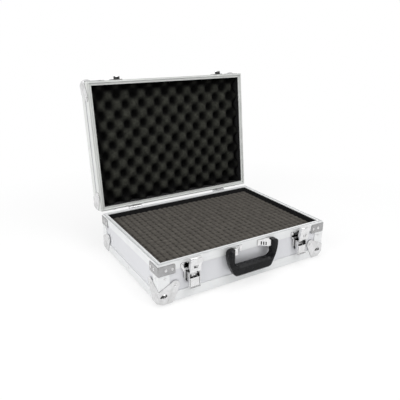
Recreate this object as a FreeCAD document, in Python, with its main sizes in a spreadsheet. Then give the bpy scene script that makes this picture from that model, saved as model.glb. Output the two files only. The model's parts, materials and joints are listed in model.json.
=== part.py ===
import FreeCAD, Part
import os
import re

import Sketcher
from FreeCAD import Placement, Rotation, Vector

# Aluminium case with a hinged lid, two draw latches, ball corners and a swing handle.
# Millimetres. X runs along the front, Y from front to back, Z up.
# The origin is midway between the four ball corners, on the surface that they stand on.

# Driving sizes: alias, value, meaning
SIZES = [
    ("case_width", 460, "outside width over the profiles"),
    ("case_depth", 330, "outside depth over the profiles"),
    ("base_height", 93, "base, from its underside to its rim"),
    ("lid_height", 51, "lid, from its rim to its top"),
    ("lid_angle", 96.3, "how far the lid stands open at its stop"),
    ("closing_gap", 0.4, "gap between the two rims when the lid is shut"),
    ("profile_wall", 1.8, "wall of the aluminium profiles"),
    ("panel_thick", 7, "laminated panel"),
    ("lining_thick", 1.8, "felt lining inside the panels"),
    ("edge_leg", 22, "leg of the edge angle"),
    ("post_leg", 26, "leg of the upright corner angle"),
    ("rim_leg", 18.5, "outer leg of the rim profiles"),
    ("cap_thick", 2, "cap of the rim profiles"),
    ("groove_width", 4.4, "groove in the base rim"),
    ("groove_depth", 5, "depth of that groove"),
    ("groove_wall", 1.4, "inner wall and floor of that groove"),
    ("tongue_width", 2.8, "tongue on the lid rim"),
    ("tongue_height", 3.5, "height of that tongue"),
    ("tongue_gap", 0.6, "tongue to the outer side of the groove"),
    ("ball_radius", 17.5, "ball of the corner"),
    ("ball_stand", 5.5, "how far the ball stands proud of each face"),
    ("leaf_thick", 1.2, "sheet of the corner's three leaves"),
    ("leaf_foot", 31, "leaf along each edge of the case"),
    ("leaf_start", 10, "leaf starts from the corner, under the ball"),
    ("lobe_offset", 38.5, "rivet of a leaf from both edges"),
    ("lobe_radius", 11, "round end of a leaf"),
    ("lobe_flank", 26.5, "direction of the lobe's flank, degrees"),
    ("seat_gap", 0.2, "clearance round the corner's plug"),
    ("bracket_leg", 39.5, "rim bracket along each face"),
    ("bracket_height", 22, "height of the rim bracket"),
    ("bracket_drop", 4, "rim bracket below the rim"),
    ("bracket_thick", 1.2, "sheet of the rim bracket"),
    ("bracket_round", 3.5, "round upper corner of the rim bracket"),
    ("bracket_bend", 2.4, "bend over the corner of the case"),
    ("foam_drop", 13.5, "base foam below the rim"),
    ("foam_gap", 0.4, "foam to the lining"),
    ("crate_drop", 12, "peaks of the lid foam below the lid rim"),
    ("crate_relief", 18, "peak to hollow of the lid foam"),
    ("crate_pitch_x", 46, "egg-crate pattern along the width"),
    ("crate_pitch_y", 52, "egg-crate pattern along the depth"),
    ("latch_inset", 79, "latch centre from the side of the case"),
    ("latch_sheet", 1.5, "sheet of the latch plate and its ears"),
    ("latch_drop", 7.5, "top of the latch plate below the rim"),
    ("latch_height", 46.5, "height of the latch plate"),
    ("latch_width", 54, "latch plate over its wings"),
    ("latch_waist", 40, "latch plate below its wings"),
    ("latch_foot", 26, "lower end of the latch plate"),
    ("wing_depth", 8, "straight side of a wing"),
    ("waist_top", 21, "waist starts below the top of the latch plate"),
    ("waist_foot", 35, "waist ends below the top of the latch plate"),
    ("ear_radius", 3.2, "ear round the lever pivot"),
    ("stud_radius", 1.6, "pivot stud of the lever"),
    ("side_play", 0.2, "ear to lever, sideways"),
    ("running_gap", 0.05, "radial clearance of the pivots"),
    ("lever_width", 27, "lever over its cheeks"),
    ("lever_sheet", 1.3, "sheet of the lever"),
    ("pivot_out", 7, "lever pivot in front of the rim face"),
    ("pivot_drop", 32.5, "lever pivot below the rim"),
    ("lever_head", 4, "head of a cheek round the pivot"),
    ("lever_face", 13.3, "front of the lever from the rim face"),
    ("web_top", 42.5, "upper edge of the lever's front, below the rim"),
    ("web_foot", 62.5, "start of the finger lip, below the rim"),
    ("lip_out", 1.1, "finger lip in front of the lever"),
    ("lip_drop", 3.5, "height of the finger lip"),
    ("slit_width", 1.2, "slit beside the lever's front"),
    ("slit_edge", 1.5, "slit from the lever's side"),
    ("pin_out", 5.4, "claw pin in front of the rim face"),
    ("pin_drop", 40.3, "claw pin below the rim"),
    ("pin_radius", 1.25, "claw pin"),
    ("eye_radius", 2.9, "eye of the claw and of the cheek round that pin"),
    ("claw_width", 26, "claw at its hook"),
    ("shank_width", 19, "claw between the ears"),
    ("claw_sheet", 1.8, "sheet of the claw"),
    ("claw_face", 13.8, "front of the claw from the rim face, hooked"),
    ("claw_top", 9.3, "top of the claw above the rim, hooked"),
    ("claw_tip", 4.7, "lower edge of the hook above the rim, hooked"),
    ("tip_out", 5.8, "hook's inner side from the rim face, hooked"),
    ("neck_drop", 29.5, "claw bends forward, below the rim"),
    ("knee_drop", 24, "claw stands upright again, below the rim"),
    ("flange_drop", 13, "lower back corner of the claw's side flanges, below the rim"),
    ("window_top", 9, "window in the claw's front, below the rim"),
    ("window_height", 8, "height of that window"),
    ("window_width", 12, "upper edge of that window"),
    ("tail_drop", 50.5, "tail that stops the claw on its plate, below the rim"),
    ("tail_out", 3.6, "back of that tail from the rim face, hooked"),
    ("claw_tilt", 10, "claw leaning out on its tail at rest, degrees"),
    ("catch_width", 30, "plate of the catch"),
    ("catch_height", 17.5, "height of that plate"),
    ("catch_rise", 0.6, "plate of the catch from the lid rim"),
    ("catch_sheet", 1.5, "sheet of that plate"),
    ("hook_width", 16, "ledge of the catch"),
    ("hook_rise", 1.6, "underside of the ledge from the lid rim"),
    ("hook_sheet", 2, "ledge of the catch"),
    ("hook_reach", 10.5, "ledge in front of the lid"),
    ("hook_lip", 1.5, "upturned lip above the ledge"),
    ("hook_lip_sheet", 1.6, "upturned lip"),
    ("grip_out", 13, "handle pivot in front of the rim face"),
    ("grip_drop", 9.5, "handle pivot below the rim"),
    ("grip_span", 138, "handle over its hubs"),
    ("hub_width", 17, "hub of the handle, along its pivot"),
    ("grip_taper", 19, "handle shorter along its lower edge, at each end"),
    ("hub_top", 9, "hub above the handle pivot"),
    ("hub_bottom", 20, "arm bends inwards, below the pivot"),
    ("bar_top", 33, "grip bar's upper side below the pivot"),
    ("bar_bottom", 59, "grip bar's lower side below the pivot"),
    ("grip_depth", 21, "handle from front to back"),
    ("grip_bevel", 4.5, "bevelled edges of the handle"),
    ("grip_bend", 13, "round lower corners of the handle"),
    ("grip_crook", 11.7, "round inner corners of the handle"),
    ("hub_round", 9.1, "round upper corner of each hub"),
    ("grip_bow", 85, "long outer curve of each arm"),
    ("grip_pin", 2.5, "handle stud"),
    ("grip_pin_reach", 12, "handle stud inside its hub"),
    ("grip_pin_end", 1, "bore of the hub beyond its stud"),
    ("strap_sheet", 1.8, "sheet of the handle bracket"),
    ("strap_height", 14, "handle bracket"),
    ("strap_out", 16, "front of the handle bracket from the rim face"),
    ("strap_play", 0.5, "handle bracket to the hub"),
    ("strap_width", 23.3, "raised part of the handle bracket"),
    ("strap_flat", 9, "flat front of that part, beside its slope"),
    ("slot_width", 2, "slots in that slope"),
    ("slot_pitch", 3.8, "from slot to slot"),
    ("strap_foot", 6.2, "foot of the handle bracket"),
    ("hinge_inset", 96, "hinge centre from the side of the case"),
    ("hinge_offset", 4, "hinge pin behind the back face"),
    ("hinge_width", 38, "hinge"),
    ("hinge_leaf", 26, "hinge leaf from the pin"),
    ("hinge_sheet", 1.5, "sheet of the hinge"),
    ("knuckle_radius", 3.2, "hinge knuckle"),
    ("knuckle_middle", 12.8, "lid's knuckle"),
    ("knuckle_gap", 0.3, "between two knuckles"),
    ("hinge_pin", 1.5, "hinge pin"),
]

doc = FreeCAD.newDocument("AluminiumCase")
sheet = doc.addObject("Spreadsheet::Sheet", "Sizes")
for row, (alias, value, meaning) in enumerate(SIZES, start=1):
    sheet.set(f"A{row}", meaning)
    sheet.set(f"B{row}", str(value))
    sheet.setAlias(f"B{row}", alias)
doc.recompute()

ALIASES = {alias for alias, value, meaning in SIZES}
WORD = re.compile(r"[a-z][a-z_]*")

# Places that several pieces share, written with the sheet's names
RIM_TOP = "(ball_stand + base_height)"
LID_RIM = "(ball_stand + base_height + closing_gap)"
LID_TOP = "(ball_stand + base_height + closing_gap + lid_height)"
PANEL_IN = "(profile_wall + panel_thick)"
RIM_WIDTH = "(profile_wall + panel_thick + lining_thick)"
RIM_SEAT = "(groove_depth + groove_wall)"
RELIEF = "(profile_wall + panel_thick - seat_gap)"
BALL_INSET = "(ball_radius - ball_stand)"
HINGE_Y = "(case_depth / 2 + hinge_offset)"
HINGE_Z = "(ball_stand + base_height + closing_gap / 2)"
CHEEK_GAP = "(lever_width - 2 * lever_sheet)"
EAR_SPAN = "(lever_width - 2 * lever_sheet - 2 * side_play)"
EAR_GAP = "(lever_width - 2 * lever_sheet - 2 * side_play - 2 * latch_sheet)"
LATCH_X = "(case_width / 2 - latch_inset)"
HINGE_X = "(case_width / 2 - hinge_inset)"
GRIP_GAP = "(grip_span - 2 * hub_width)"
GRIP_FOOT = "(grip_span - 2 * grip_taper)"

# Sides of the case: name, length, corner where the side starts, turn about Z
SIDES = [
    ("front", "case_width", "-case_width / 2", "-case_depth / 2", 0),
    ("right", "case_depth", "case_width / 2", "-case_depth / 2", 90),
    ("back", "case_width", "case_width / 2", "case_depth / 2", 180),
    ("left", "case_depth", "-case_width / 2", "case_depth / 2", 270),
]
# Corners: name, place, turn about Z that points a corner piece inwards
CORNERS = [
    ("front_left", "-case_width / 2", "-case_depth / 2", 0),
    ("front_right", "case_width / 2", "-case_depth / 2", 90),
    ("back_right", "case_width / 2", "case_depth / 2", 180),
    ("back_left", "-case_width / 2", "case_depth / 2", 270),
]
PAIR = [("left", -1), ("right", 1)]

parts = {}


def bound(text):
    """Expression text with every sheet name spelled out."""
    return WORD.sub(lambda m: "Sizes." + m.group() if m.group() in ALIASES else m.group(), str(text))


def number(text):
    """Value of an expression now."""
    return float(sheet.evalExpression(bound(text)))


def point(x, y, z):
    return Vector(number(x), number(y), number(z))


def upright(x, y, z, turn=0):
    """Place of a piece on the base, turned about Z."""
    return Placement(point(x, y, z), Rotation(Vector(0, 0, 1), turn))


def lid_swing():
    """Movement of the whole lid from shut to its open stop."""
    hinge = point("0", HINGE_Y, HINGE_Z)
    return Placement(Vector(), Rotation(Vector(1, 0, 0), -number("lid_angle")), hinge)


def keep(obj, label, place=None, on_lid=False):
    """Name a finished sub-part and put it where it belongs."""
    obj.Label = label
    if place is not None:
        obj.Placement = place
    if on_lid:
        obj.Placement = lid_swing().multiply(obj.Placement)
    parts[label] = obj
    return obj


def new_body(name):
    return doc.addObject("PartDesign::Body", name)


def new_sketch(body, role, offset="0"):
    """Empty sketch on one of the body's own planes, moved along that plane's normal."""
    sketch = body.newObject("Sketcher::SketchObject", body.Name + "_sketch")
    plane = next(f for f in body.Origin.OriginFeatures if f.Role == role)
    sketch.AttachmentSupport = [(plane, "")]
    sketch.MapMode = "FlatFace"
    sketch.setExpression("AttachmentOffset.Base.z", bound(offset))
    return sketch


def outline(body, role, corners, offset="0"):
    """Closed polygon whose corners are pinned to the sheet."""
    sketch = new_sketch(body, role, offset)
    flat = [Vector(number(x), number(y), 0) for x, y in corners]
    count = len(flat)
    sketch.addGeometry([Part.LineSegment(flat[i], flat[(i + 1) % count]) for i in range(count)])
    rules = [Sketcher.Constraint("Coincident", i, 2, (i + 1) % count, 1) for i in range(count)]
    for i, at in enumerate(flat):
        rules.append(Sketcher.Constraint("DistanceX", -1, 1, i, 1, at.x))
        rules.append(Sketcher.Constraint("DistanceY", -1, 1, i, 1, at.y))
    sketch.addConstraint(rules)
    for i, (x, y) in enumerate(corners):
        sketch.setExpression(f"Constraints[{count + 2 * i}]", bound(x))
        sketch.setExpression(f"Constraints[{count + 2 * i + 1}]", bound(y))
    return sketch


def disc(body, role, x, y, radius, offset="0"):
    """Circle pinned to the sheet."""
    sketch = new_sketch(body, role, offset)
    centre = Vector(number(x), number(y), 0)
    sketch.addGeometry(Part.Circle(centre, Vector(0, 0, 1), number(radius)))
    sketch.addConstraint([
        Sketcher.Constraint("DistanceX", -1, 1, 0, 3, centre.x),
        Sketcher.Constraint("DistanceY", -1, 1, 0, 3, centre.y),
        Sketcher.Constraint("Radius", 0, number(radius)),
    ])
    for i, text in enumerate((x, y, radius)):
        sketch.setExpression(f"Constraints[{i}]", bound(text))
    return sketch


def pad(body, sketch, length, side="Symmetric", back=False):
    """Material on a sketch, about its plane or to one side of it."""
    feature = body.newObject("PartDesign::Pad", body.Name + "_pad")
    feature.Profile = sketch
    feature.setExpression("Length", bound(length))
    feature.SideType = side
    feature.Reversed = back
    doc.recompute()
    return feature


def pocket(body, sketch, length=None):
    """Cut through a sketch to both sides, right through or over a stated width."""
    before = body.Shape.Volume
    feature = body.newObject("PartDesign::Pocket", body.Name + "_pocket")
    feature.Profile = sketch
    feature.SideType = "Symmetric"
    if length is None:
        feature.Type = "ThroughAll"
    else:
        feature.setExpression("Length", bound(length))
    doc.recompute()
    if body.Shape.Volume >= before:
        raise ValueError(body.Name + ": a pocket cuts nothing")
    return feature


def picked(body, chosen):
    """Last feature of a body and the names of its edges whose middle point is chosen."""
    last = body.Tip
    names = []
    for i, edge in enumerate(last.Shape.Edges, start=1):
        middle = edge.valueAt((edge.FirstParameter + edge.LastParameter) / 2)
        if chosen(edge, middle):
            names.append(f"Edge{i}")
    return last, names


def soften(body, radius, chosen):
    """Round the chosen edges."""
    edges = picked(body, chosen)
    feature = body.newObject("PartDesign::Fillet", body.Name + "_fillet")
    feature.Base = edges
    feature.setExpression("Radius", bound(radius))
    doc.recompute()
    return feature


def bevel(body, size, chosen):
    """Cut a flat along the chosen edges."""
    edges = picked(body, chosen)
    feature = body.newObject("PartDesign::Chamfer", body.Name + "_chamfer")
    feature.Base = edges
    feature.setExpression("Size", bound(size))
    doc.recompute()
    return feature


def near(value, text):
    """True where a coordinate lies on the place that an expression gives."""
    return abs(value - number(text)) < 1e-3


def along(edge, axis):
    """True for a straight edge along an axis."""
    if edge.Curve.TypeId != "Part::GeomLine":
        return False
    return abs(abs(edge.Curve.Direction.dot(axis)) - 1) < 1e-6


def block(name, size, corner):
    """Box with its sizes and its low corner on the sheet."""
    box = doc.addObject("Part::Box", name)
    for side, text in zip(("Length", "Width", "Height"), size):
        box.setExpression(side, bound(text))
    for axis, text in zip("xyz", corner):
        box.setExpression("Placement.Base." + axis, bound(text))
    doc.recompute()
    return box


def group(name, members):
    """Several separate solids that share one node."""
    compound = doc.addObject("Part::Compound", name)
    compound.Links = members
    doc.recompute()
    return compound


def from_front(corners):
    """Side view written as distance in front of the face and height, turned to Y and Z."""
    return [(f"-({out})", up) for out, up in corners]


# Panels of laminated board
def middle_box(name, length, width, height, low):
    """Box centred on the case in plan."""
    return block(name, (length, width, height), (f"-({length}) / 2", f"-({width}) / 2", low))


def floor_panel(label, low, on_lid=False):
    """Bottom or top panel, with its corners cut off where the ball corners plug in."""
    body = new_body(label)
    x = "(case_width / 2 - profile_wall)"
    y = "(case_depth / 2 - profile_wall)"
    cut = f"(2 * {RELIEF} - 2 * profile_wall + seat_gap)"
    half = [(x, f"{y} - {cut}"), (f"{x} - {cut}", y)]
    corners = []
    for sign_x, sign_y, order in ((1, 1, 1), (-1, 1, -1), (-1, -1, 1), (1, -1, -1)):
        corners += [(f"{sign_x} * ({px})", f"{sign_y} * ({py})") for px, py in half[::order]]
    pad(body, outline(body, "XY_Plane", corners), "panel_thick", "One side")
    keep(body, label, upright("0", "0", low), on_lid)


def wall_boxes(name, low, height):
    """Four upright panels: front and back run through, the sides stand between them."""
    length = "(case_width - 2 * profile_wall)"
    width = f"(case_depth - 2 * {PANEL_IN})"
    near_y = "-case_depth / 2 + profile_wall"
    far_y = f"case_depth / 2 - {PANEL_IN}"
    near_x = "-case_width / 2 + profile_wall"
    far_x = f"case_width / 2 - {PANEL_IN}"
    return {
        "front": block(name + "_front", (length, "panel_thick", height), (near_x, near_y, low)),
        "back": block(name + "_back", (length, "panel_thick", height), (near_x, far_y, low)),
        "left": block(name + "_left", ("panel_thick", width, height), (near_x, f"-{width} / 2", low)),
        "right": block(name + "_right", ("panel_thick", width, height), (far_x, f"-{width} / 2", low)),
    }


def panels():
    floor_panel("base_bottom_panel", "ball_stand + profile_wall")
    base_low = f"ball_stand + {PANEL_IN}"
    for side, box in wall_boxes("base_wall", base_low, f"base_height - {PANEL_IN} - {RIM_SEAT}").items():
        keep(box, f"base_{side}_panel")
    floor_panel("lid_top_panel", f"{LID_TOP} - {PANEL_IN}", on_lid=True)
    lid_walls = wall_boxes("lid_wall", f"{LID_RIM} + cap_thick", f"lid_height - cap_thick - {PANEL_IN}")
    keep(group("lid_walls", list(lid_walls.values())), "lid_side_panels", on_lid=True)


# Aluminium profiles, mitred where they meet
def mitred_bar(name, section, length, reach, relief):
    """Profile along X from a corner of the case, cut at 45 degrees towards both corners."""
    body = new_body(name)
    pad(body, outline(body, "YZ_Plane", section), length, "One side")
    outside, past = "-profile_wall", f"{reach} + profile_wall"
    start = [(outside, outside), (relief, outside), (relief, relief), (past, past), (outside, past)]
    end = [(f"{length} - ({x})", y) for x, y in start]
    pocket(body, outline(body, "XY_Plane", start))
    pocket(body, outline(body, "XY_Plane", end))
    return body


def edge_section(up):
    """Angle that covers an outer edge, its legs running inwards and up or down."""
    return [
        ("0", "0"),
        ("edge_leg", "0"),
        ("edge_leg", f"{up} * profile_wall"),
        ("profile_wall", f"{up} * profile_wall"),
        ("profile_wall", f"{up} * edge_leg"),
        ("0", f"{up} * edge_leg"),
    ]


BASE_RIM_SECTION = [
    ("0", "0"),
    ("profile_wall", "0"),
    ("profile_wall", "-groove_depth"),
    ("profile_wall + groove_width", "-groove_depth"),
    ("profile_wall + groove_width", "0"),
    (RIM_WIDTH, "0"),
    (RIM_WIDTH, "-cap_thick"),
    ("profile_wall + groove_width + groove_wall", "-cap_thick"),
    ("profile_wall + groove_width + groove_wall", f"-{RIM_SEAT}"),
    ("profile_wall", f"-{RIM_SEAT}"),
    ("profile_wall", "-rim_leg"),
    ("0", "-rim_leg"),
]
LID_RIM_SECTION = [
    ("0", "0"),
    ("profile_wall + tongue_gap", "0"),
    ("profile_wall + tongue_gap + tongue_width / 4", "-tongue_height"),
    ("profile_wall + tongue_gap + tongue_width * 3 / 4", "-tongue_height"),
    ("profile_wall + tongue_gap + tongue_width", "0"),
    (RIM_WIDTH, "0"),
    (RIM_WIDTH, "cap_thick"),
    ("profile_wall", "cap_thick"),
    ("profile_wall", "rim_leg"),
    ("0", "rim_leg"),
]


def profiles():
    for side, length, x, y, turn in SIDES:
        bar = mitred_bar(f"base_edge_{side}", edge_section(1), length, "edge_leg", RELIEF)
        keep(bar, f"base_{side}_edge_profile", upright(x, y, "ball_stand", turn))
        bar = mitred_bar(f"base_rim_{side}", BASE_RIM_SECTION, length, RIM_WIDTH, "0")
        keep(bar, f"base_{side}_rim_profile", upright(x, y, RIM_TOP, turn))
        bar = mitred_bar(f"lid_edge_{side}", edge_section(-1), length, "edge_leg", RELIEF)
        keep(bar, f"lid_{side}_edge_profile", upright(x, y, LID_TOP, turn), on_lid=True)
        bar = mitred_bar(f"lid_rim_{side}", LID_RIM_SECTION, length, RIM_WIDTH, "0")
        keep(bar, f"lid_{side}_rim_profile", upright(x, y, LID_RIM, turn), on_lid=True)


def corner_angle(name, leg, thick, height):
    """Upright angle with its outer edge on Z and its legs running inwards along X and Y."""
    body = new_body(name)
    section = [("0", "0"), (leg, "0"), (leg, thick), (thick, thick), (thick, leg), ("0", leg)]
    pad(body, outline(body, "XY_Plane", section), height, "One side")
    return body


def posts():
    for name, low, height, on_lid in (
        ("base", "ball_stand + edge_leg", "base_height - edge_leg - rim_leg", False),
        ("lid", f"{LID_RIM} + rim_leg", "lid_height - edge_leg - rim_leg", True),
    ):
        members = []
        for corner, x, y, turn in CORNERS:
            post = corner_angle(f"{name}_post_{corner}", "post_leg", "profile_wall", height)
            post.Placement = upright(x, y, low, turn)
            members.append(post)
        keep(group(f"{name}_posts", members), f"{name}_corner_posts", on_lid=on_lid)


def rim_brackets():
    """Pressed angles over the four rim corners of the base."""
    members = []
    for corner, x, y, turn in CORNERS:
        body = new_body("bracket_" + corner)
        section = [
            ("-bracket_thick", "-bracket_thick"),
            ("bracket_leg", "-bracket_thick"),
            ("bracket_leg", "0"),
            ("0", "0"),
            ("0", "bracket_leg"),
            ("-bracket_thick", "bracket_leg"),
        ]
        pad(body, outline(body, "XY_Plane", section), "bracket_height", "One side")
        soften(body, "bracket_bend", lambda edge, at: near(at.x, "-bracket_thick")
               and near(at.y, "-bracket_thick"))
        soften(body, "bracket_round", lambda edge, at: near(at.z, "bracket_height")
               and (near(at.x, "bracket_leg") or near(at.y, "bracket_leg")))
        body.Placement = upright(x, y, f"{RIM_TOP} - bracket_drop - bracket_height", turn)
        members.append(body)
    keep(group("brackets", members), "rim_brackets")


# Ball corners: a ball and three riveted leaves pressed from one sheet
# Direction from the ball's centre whose two poles both lie inside the case
POLES_INSIDE = Vector(0.6, 0.6, -0.53)


def ball_corner():
    """One corner with the case inwards along +X, +Y and +Z from the origin."""
    leaf = new_body("corner_leaf")
    flank_far = "lobe_offset + lobe_radius * cos(lobe_flank)"
    flank_near = "lobe_offset - lobe_radius * sin(lobe_flank)"
    corners = [
        ("leaf_start", "-leaf_thick"),
        ("leaf_foot", "-leaf_thick"),
        (flank_far, flank_near),
        (flank_near, flank_far),
        ("-leaf_thick", "leaf_foot"),
        ("-leaf_thick", "leaf_start"),
    ]
    pad(leaf, outline(leaf, "XY_Plane", corners), "leaf_thick", "One side", back=True)
    lobe = disc(leaf, "XY_Plane", "lobe_offset", "lobe_offset", "lobe_radius")
    pad(leaf, lobe, "leaf_thick", "One side", back=True)
    leaves = [leaf]
    for turn in (120, 240):
        copy = group(f"corner_leaf_{turn}", [leaf])
        copy.Placement = Placement(Vector(), Rotation(Vector(1, 1, 1), turn))
        leaves.append(copy)
    ball = doc.addObject("Part::Sphere", "corner_ball")
    ball.setExpression("Radius", bound("ball_radius"))
    ball.Placement = Placement(Vector(), Rotation(Vector(0, 0, 1), POLES_INSIDE))
    for axis in "xyz":
        ball.setExpression("Placement.Base." + axis, bound(BALL_INSET))
    shell = doc.addObject("Part::MultiFuse", "corner_shell")
    shell.Shapes = leaves + [ball]
    case = block("corner_case", ["3 * lobe_offset"] * 3, ["0"] * 3)
    plug = block("corner_plug", [RELIEF] * 3, ["0"] * 3)
    inside = doc.addObject("Part::Cut", "corner_inside")
    inside.Base = case
    inside.Tool = plug
    corner = doc.addObject("Part::Cut", "corner_master")
    corner.Base = shell
    corner.Tool = inside
    doc.recompute()
    return corner


def ball_corners():
    master = ball_corner()
    flip = Placement(Vector(), Rotation(Vector(1, 0, 0), 180))
    quarter = Placement(Vector(), Rotation(Vector(0, 0, 1), 90))
    on_base, on_lid = [], []
    for corner, x, y, turn in CORNERS:
        low = group("base_ball_" + corner, [master])
        low.Placement = upright(x, y, "ball_stand", turn)
        on_base.append(low)
        high = group("lid_ball_" + corner, [master])
        high.Placement = upright(x, y, LID_TOP, turn).multiply(quarter).multiply(flip)
        on_lid.append(high)
    keep(group("base_balls", on_base), "base_ball_corners")
    keep(group("lid_balls", on_lid), "lid_ball_corners", on_lid=True)


# Lining and foam
def lining(label, low, height, on_lid=False):
    """Felt on the four inner walls."""
    felt = doc.addObject("Part::Cut", label)
    for role, inset in (("Base", PANEL_IN), ("Tool", RIM_WIDTH)):
        width, depth = f"case_width - 2 * {inset}", f"case_depth - 2 * {inset}"
        setattr(felt, role, middle_box(f"{label}_{role}", width, depth, height, low))
    doc.recompute()
    keep(felt, label, on_lid=on_lid)


FOAM_WIDTH = f"(case_width - 2 * {RIM_WIDTH} - 2 * foam_gap)"
FOAM_DEPTH = f"(case_depth - 2 * {RIM_WIDTH} - 2 * foam_gap)"


def egg_crate():
    """Lid foam: a flat back and a face of peaks and hollows that alternate like a chessboard."""
    width, depth = number(FOAM_WIDTH), number(FOAM_DEPTH)
    back = number(f"{LID_TOP} - {PANEL_IN}")
    peak = number(f"{LID_RIM} + crate_drop")
    hollow = peak + number("crate_relief")
    across = max(2, round(2 * width / number("crate_pitch_x")))
    along_depth = max(2, round(2 * depth / number("crate_pitch_y")))

    def at(i, j, height):
        return Vector(width * (i / across - 0.5), depth * (j / along_depth - 0.5), height)

    def node(i, j):
        return at(i, j, hollow if (i + j) % 2 == 0 else peak)

    def face(*corners):
        return Part.Face(Part.makePolygon(list(corners) + [corners[0]]))

    # A ridge joins the two peaks of each cell, so every hollow is a sunk pyramid
    faces = []
    for i in range(across):
        for j in range(along_depth):
            ring = [node(i, j), node(i + 1, j), node(i + 1, j + 1), node(i, j + 1)]
            first = 1 if (i + j) % 2 == 0 else 0
            peak_a, hollow_a, peak_b, hollow_b = ring[first:] + ring[:first]
            faces += [face(peak_a, hollow_a, peak_b), face(peak_b, hollow_b, peak_a)]
    for j in (0, along_depth):
        row = [node(i, j) for i in range(across + 1)]
        faces.append(face(*row, at(across, j, back), at(0, j, back)))
    for i in (0, across):
        row = [node(i, j) for j in range(along_depth + 1)]
        faces.append(face(*row, at(i, along_depth, back), at(i, 0, back)))
    ends = ((0, 0), (across, 0), (across, along_depth), (0, along_depth))
    faces.append(face(*[at(i, j, back) for i, j in ends]))
    solid = Part.Solid(Part.makeShell(faces))
    if solid.Volume < 0:
        solid.reverse()
    return solid


def foam():
    lining("base_lining", f"ball_stand + {PANEL_IN}", f"base_height - {PANEL_IN} - cap_thick")
    lining("lid_lining", f"{LID_RIM} + cap_thick", f"lid_height - cap_thick - {PANEL_IN}", on_lid=True)
    low = f"ball_stand + {PANEL_IN}"
    height = f"base_height - foam_drop - {PANEL_IN}"
    slab = middle_box("base_foam_block", FOAM_WIDTH, FOAM_DEPTH, height, low)
    keep(slab, "base_foam")
    crate = doc.addObject("Part::Feature", "egg_crate")
    crate.Shape = egg_crate()
    keep(crate, "lid_foam", Placement(), on_lid=True)


# Draw latches: X across, Y towards the case, heights from the base rim
def latch_place(sign):
    return upright(f"{sign} * {LATCH_X}", "-case_depth / 2", RIM_TOP)


def mirrored(half):
    """Outline closed over the middle plane from its right half, listed downwards."""
    return half + [(f"-({x})", y) for x, y in reversed(half)]


def latch_plate(side, sign):
    """Shield-shaped plate with two ears and the studs that the lever turns on."""
    body = new_body("latch_plate_" + side)
    foot = "-(latch_drop + latch_height)"
    half = [
        ("latch_width / 2", "-latch_drop"),
        ("latch_width / 2", "-(latch_drop + wing_depth)"),
        ("latch_waist / 2", "-(latch_drop + waist_top)"),
        ("latch_waist / 2", "-(latch_drop + waist_foot)"),
        ("latch_foot / 2", foot),
    ]
    pad(body, outline(body, "XZ_Plane", mirrored(half)), "latch_sheet", "One side")
    soften(body, "latch_sheet * 2", lambda edge, at: along(edge, Vector(0, 1, 0)) and not near(at.z, foot))
    ear = from_front([
        ("latch_sheet / 2", "-pivot_drop - ear_radius"),
        ("pivot_out + ear_radius / 2", "-pivot_drop - ear_radius"),
        ("pivot_out + ear_radius", "-pivot_drop - ear_radius / 2"),
        ("pivot_out + ear_radius", "-pivot_drop + ear_radius / 2"),
        ("pivot_out + ear_radius / 2", "-pivot_drop + ear_radius"),
        ("latch_sheet / 2", "-pivot_drop + ear_radius"),
    ])
    pad(body, outline(body, "YZ_Plane", ear), EAR_SPAN)
    pad(body, disc(body, "YZ_Plane", "-pivot_out", "-pivot_drop", "stud_radius"), "lever_width")
    between = from_front([
        ("latch_sheet", "-pivot_drop - 2 * ear_radius"),
        ("pivot_out + 2 * ear_radius", "-pivot_drop - 2 * ear_radius"),
        ("pivot_out + 2 * ear_radius", "-pivot_drop + 2 * ear_radius"),
        ("latch_sheet", "-pivot_drop + 2 * ear_radius"),
    ])
    pocket(body, outline(body, "YZ_Plane", between), EAR_GAP)
    body.Placement = latch_place(sign)
    return body


def latch_lever(side, sign):
    """Pressed channel: two cheeks on the studs, a front to press and a lip for the finger."""
    body = new_body("latch_lever_" + side)
    cheek = from_front([
        ("pivot_out - lever_head", "-pivot_drop + lever_head"),
        ("pivot_out + lever_head", "-pivot_drop + lever_head"),
        ("lever_face", "-web_top"),
        ("lever_face", "-web_foot"),
        ("lever_face + lip_out", "-web_foot - lip_drop"),
        ("lever_face + lip_out - lever_sheet", "-web_foot - lip_drop - lever_sheet / 2"),
        ("lever_face - lever_sheet", "-web_foot - lever_sheet / 2"),
        ("(lever_face + pin_out) / 2", "-web_foot + lever_sheet"),
        ("pin_out - eye_radius", "-pin_drop - eye_radius"),
    ])
    pad(body, outline(body, "YZ_Plane", cheek), "lever_width")
    channel = from_front([
        ("-lever_face", "0"),
        ("3 * lever_face", "0"),
        ("3 * lever_face", "-web_top"),
        ("lever_face - lever_sheet", "-web_top"),
        ("lever_face - lever_sheet", "-web_foot"),
        ("-lever_face", "-web_foot"),
    ])
    pocket(body, outline(body, "YZ_Plane", channel), CHEEK_GAP)
    for hand in (1, -1):
        near_edge = f"{hand} * (lever_width / 2 - slit_edge)"
        far_edge = f"{hand} * (lever_width / 2 - slit_edge - slit_width)"
        slit_top, slit_foot = "-(web_top + slit_width)", "-(web_foot - slit_width)"
        slit = [(near_edge, slit_top), (far_edge, slit_top), (far_edge, slit_foot), (near_edge, slit_foot)]
        pocket(body, outline(body, "XZ_Plane", slit, "lever_face"), "3 * lever_sheet")
    head_top = "-pivot_drop + lever_head"
    bevel(body, "lever_head * 0.5", lambda edge, at: along(edge, Vector(1, 0, 0)) and near(at.z, head_top))
    pocket(body, disc(body, "YZ_Plane", "-pivot_out", "-pivot_drop", "stud_radius + running_gap"))
    pocket(body, disc(body, "YZ_Plane", "-pin_out", "-pin_drop", "pin_radius + running_gap"))
    keep(body, f"{side}_latch_lever", latch_place(sign))


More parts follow.
